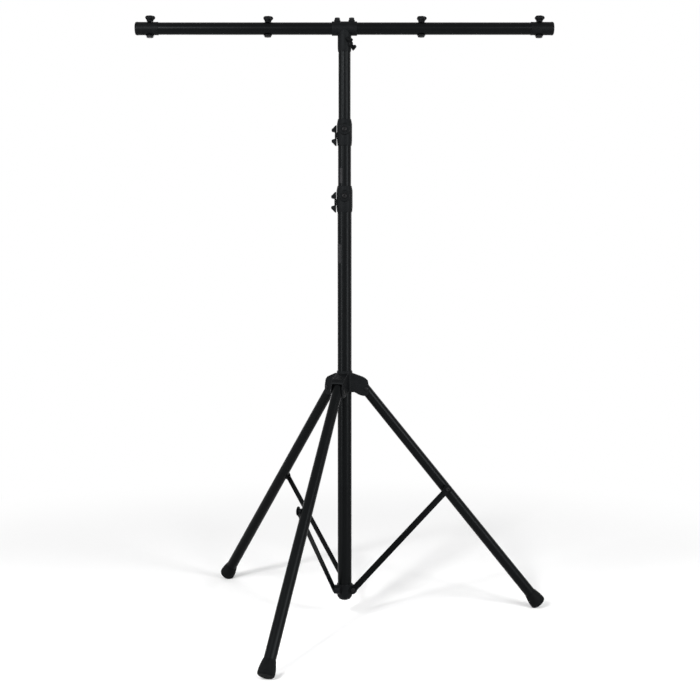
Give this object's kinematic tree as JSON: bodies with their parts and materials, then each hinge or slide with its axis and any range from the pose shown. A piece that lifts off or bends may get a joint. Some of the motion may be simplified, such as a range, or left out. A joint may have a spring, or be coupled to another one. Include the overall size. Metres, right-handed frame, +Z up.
{
  "type": "light stand",
  "caption": "Free-standing light stand: a telescopic mast with wing-screw clamps on a folding tripod, with a T-bar on top whose bolts carry lamps.",
  "frame": {"origin": "on the floor, in the middle of the box around the opened stand; the mast's axis is at x = -0.0048, y = 0.0540 m", "axes": "+Z up along the mast, +X along the T-bar to the viewer's right, +Y away from the viewer"},
  "size_m": [1.2096, 1.063, 1.7623],
  "materials": {
    "painted_steel": "satin black paint on steel tube",
    "cast_metal": "slightly rough black coat on castings",
    "moulded_plastic": "black moulded plastic with a fine grain",
    "blackened_screw": "black-oxide steel",
    "boot_rubber": "matt black rubber"
  },
  "bodies": {
    "mast_base": {"base_tube": "painted_steel", "mast_foot": "cast_metal", "collar_lower": "cast_metal", "collar_lower_bolt": "blackened_screw", "brace_screw_lower_front": "blackened_screw", "brace_screw_lower_right": "blackened_screw", "brace_screw_lower_left": "blackened_screw"},
    "collar_lower_screw": {"collar_lower_knob": "moulded_plastic"},
    "hub": {"leg_hub": "cast_metal", "leg_rivet_front": "blackened_screw", "leg_rivet_right": "blackened_screw", "leg_rivet_left": "blackened_screw"},
    "hub_screw": {"leg_hub_knob": "moulded_plastic"},
    "front_leg": {"leg_front": "painted_steel", "leg_boot_front": "boot_rubber", "leg_spacer_front": "cast_metal"},
    "front_brace": {"brace_front": "painted_steel", "brace_screw_upper_front": "blackened_screw"},
    "right_leg": {"leg_right": "painted_steel", "leg_boot_right": "boot_rubber", "leg_spacer_right": "cast_metal"},
    "right_brace": {"brace_right": "painted_steel", "brace_screw_upper_right": "blackened_screw"},
    "left_leg": {"leg_left": "painted_steel", "leg_boot_left": "boot_rubber", "leg_spacer_left": "cast_metal"},
    "left_brace": {"brace_left": "painted_steel", "brace_screw_upper_left": "blackened_screw"},
    "mid_slider": {"mid_tube_bush": "moulded_plastic"},
    "mid_section": {"mid_tube": "painted_steel", "collar_upper": "cast_metal", "collar_upper_bolt": "blackened_screw"},
    "collar_upper_screw": {"collar_upper_knob": "moulded_plastic"},
    "top_slider": {"top_tube_bush": "moulded_plastic"},
    "top_section": {"top_tube": "painted_steel"},
    "head": {"tee": "cast_metal"},
    "head_screw": {"tee_knob": "moulded_plastic"},
    "left_bar_screw": {"bar_screw_left": "blackened_screw"},
    "left_arm": {"bar_left": "painted_steel", "bar_cap_left": "moulded_plastic", "lamp_bolt_left_inner": "blackened_screw", "lamp_washer_left_inner": "blackened_screw", "lamp_bolt_left_outer": "blackened_screw", "lamp_washer_left_outer": "blackened_screw"},
    "left_inner_star": {"star_knob_left_inner": "moulded_plastic"},
    "left_outer_star": {"star_knob_left_outer": "moulded_plastic"},
    "right_bar_screw": {"bar_screw_right": "blackened_screw"},
    "right_arm": {"bar_right": "painted_steel", "bar_cap_right": "moulded_plastic", "lamp_bolt_right_inner": "blackened_screw", "lamp_washer_right_inner": "blackened_screw", "lamp_bolt_right_outer": "blackened_screw", "lamp_washer_right_outer": "blackened_screw"},
    "right_inner_star": {"star_knob_right_inner": "moulded_plastic"},
    "right_outer_star": {"star_knob_right_outer": "moulded_plastic"}
  },
  "joints": [
    {"name": "hub_slide", "type": "slide", "parent": "mast_base", "child": "hub", "axis": [0, 0, 1], "range_m": [0, 0.20148]},
    {"name": "hub_knob_turn", "type": "hinge", "parent": "hub", "child": "hub_screw", "pos_m": [0.00682, 0.08673, 0.71915], "axis": [0.3338, 0.9426, 0], "range_deg": [0, 720]},
    {"name": "front_leg_fold", "type": "hinge", "parent": "hub", "child": "front_leg", "pos_m": [-0.02512, -0.00348, 0.68645], "axis": [0.9426, -0.3338, 0], "range_deg": [0, 38.81]},
    {"name": "front_brace_fold", "type": "hinge", "parent": "mast_base", "child": "front_brace", "pos_m": [-0.03594, 0.04385, 0.08849], "axis": [0.9426, -0.3338, 0], "range_deg": [-38.69, 0]},
    {"name": "right_leg_fold", "type": "hinge", "parent": "hub", "child": "right_leg", "pos_m": [0.05522, 0.06514, 0.68645], "axis": [-0.1822, 0.9833, 0], "range_deg": [0, 38.81]},
    {"name": "right_brace_fold", "type": "hinge", "parent": "mast_base", "child": "right_brace", "pos_m": [0.01964, 0.0321, 0.08849], "axis": [-0.1822, 0.9833, 0], "range_deg": [-38.69, 0]},
    {"name": "left_leg_fold", "type": "hinge", "parent": "hub", "child": "left_leg", "pos_m": [-0.04438, 0.10041, 0.68645], "axis": [-0.7604, -0.6494, 0], "range_deg": [0, 38.81]},
    {"name": "left_brace_fold", "type": "hinge", "parent": "mast_base", "child": "left_brace", "pos_m": [0.00202, 0.08612, 0.08849], "axis": [-0.7604, -0.6494, 0], "range_deg": [-38.69, 0]},
    {"name": "mid_slide", "type": "slide", "parent": "mast_base", "child": "mid_slider", "axis": [0, 0, 1], "range_m": [-0.11, 0.75]},
    {"name": "mid_swivel", "type": "hinge", "parent": "mid_slider", "child": "mid_section", "pos_m": [-0.00476, 0.05402, 1.27849], "axis": [0, 0, 1], "continuous": true},
    {"name": "top_slide", "type": "slide", "parent": "mid_section", "child": "top_slider", "axis": [0, 0, 1], "range_m": [-0.18, 0.72]},
    {"name": "top_swivel", "type": "hinge", "parent": "top_slider", "child": "top_section", "pos_m": [-0.00476, 0.05402, 1.46949], "axis": [0, 0, 1], "continuous": true},
    {"name": "head_swivel", "type": "hinge", "parent": "top_section", "child": "head", "pos_m": [-0.00476, 0.05402, 1.70349], "axis": [0, 0, 1], "continuous": true},
    {"name": "collar_lower_knob_turn", "type": "hinge", "parent": "mast_base", "child": "collar_lower_screw", "pos_m": [-0.02886, 0.05402, 1.23099], "axis": [-1, 0, 0], "range_deg": [0, 720]},
    {"name": "collar_upper_knob_turn", "type": "hinge", "parent": "mid_section", "child": "collar_upper_screw", "pos_m": [-0.02736, 0.05402, 1.42199], "axis": [-1, 0, 0], "range_deg": [0, 720]},
    {"name": "tee_knob_turn", "type": "hinge", "parent": "head", "child": "head_screw", "pos_m": [0.01087, 0.04091, 1.68159], "axis": [0.766, -0.6428, 0], "range_deg": [0, 720]},
    {"name": "left_bar_screw_turn", "type": "hinge", "parent": "head", "child": "left_bar_screw", "pos_m": [-0.02536, 0.05402, 1.75089], "axis": [0, 0, 1], "range_deg": [0, 720]},
    {"name": "left_arm_slide", "type": "slide", "parent": "head", "child": "left_arm", "axis": [-1, 0, 0], "range_m": [0, 0.014]},
    {"name": "left_inner_star_turn", "type": "hinge", "parent": "left_arm", "child": "left_inner_star", "pos_m": [-0.22476, 0.05402, 1.74389], "axis": [0, 0, 1], "range_deg": [0, 720]},
    {"name": "left_outer_star_turn", "type": "hinge", "parent": "left_arm", "child": "left_outer_star", "pos_m": [-0.56276, 0.05402, 1.74549], "axis": [0, 0, 1], "range_deg": [0, 720]},
    {"name": "right_bar_screw_turn", "type": "hinge", "parent": "head", "child": "right_bar_screw", "pos_m": [0.01584, 0.05402, 1.75089], "axis": [0, 0, 1], "range_deg": [0, 720]},
    {"name": "right_arm_slide", "type": "slide", "parent": "head", "child": "right_arm", "axis": [1, 0, 0], "range_m": [0, 0.014]},
    {"name": "right_inner_star_turn", "type": "hinge", "parent": "right_arm", "child": "right_inner_star", "pos_m": [0.21524, 0.05402, 1.74389], "axis": [0, 0, 1], "range_deg": [0, 720]},
    {"name": "right_outer_star_turn", "type": "hinge", "parent": "right_arm", "child": "right_outer_star", "pos_m": [0.55324, 0.05402, 1.74549], "axis": [0, 0, 1], "range_deg": [0, 720]}
  ],
  "couplings": [
    {"joint": "front_leg_fold", "follows": "hub_slide", "rad_per_m": 3.3611},
    {"joint": "front_brace_fold", "follows": "hub_slide", "rad_per_m": -3.3504},
    {"joint": "right_leg_fold", "follows": "hub_slide", "rad_per_m": 3.3611},
    {"joint": "right_brace_fold", "follows": "hub_slide", "rad_per_m": -3.3504},
    {"joint": "left_leg_fold", "follows": "hub_slide", "rad_per_m": 3.3611},
    {"joint": "left_brace_fold", "follows": "hub_slide", "rad_per_m": -3.3504}
  ]
}
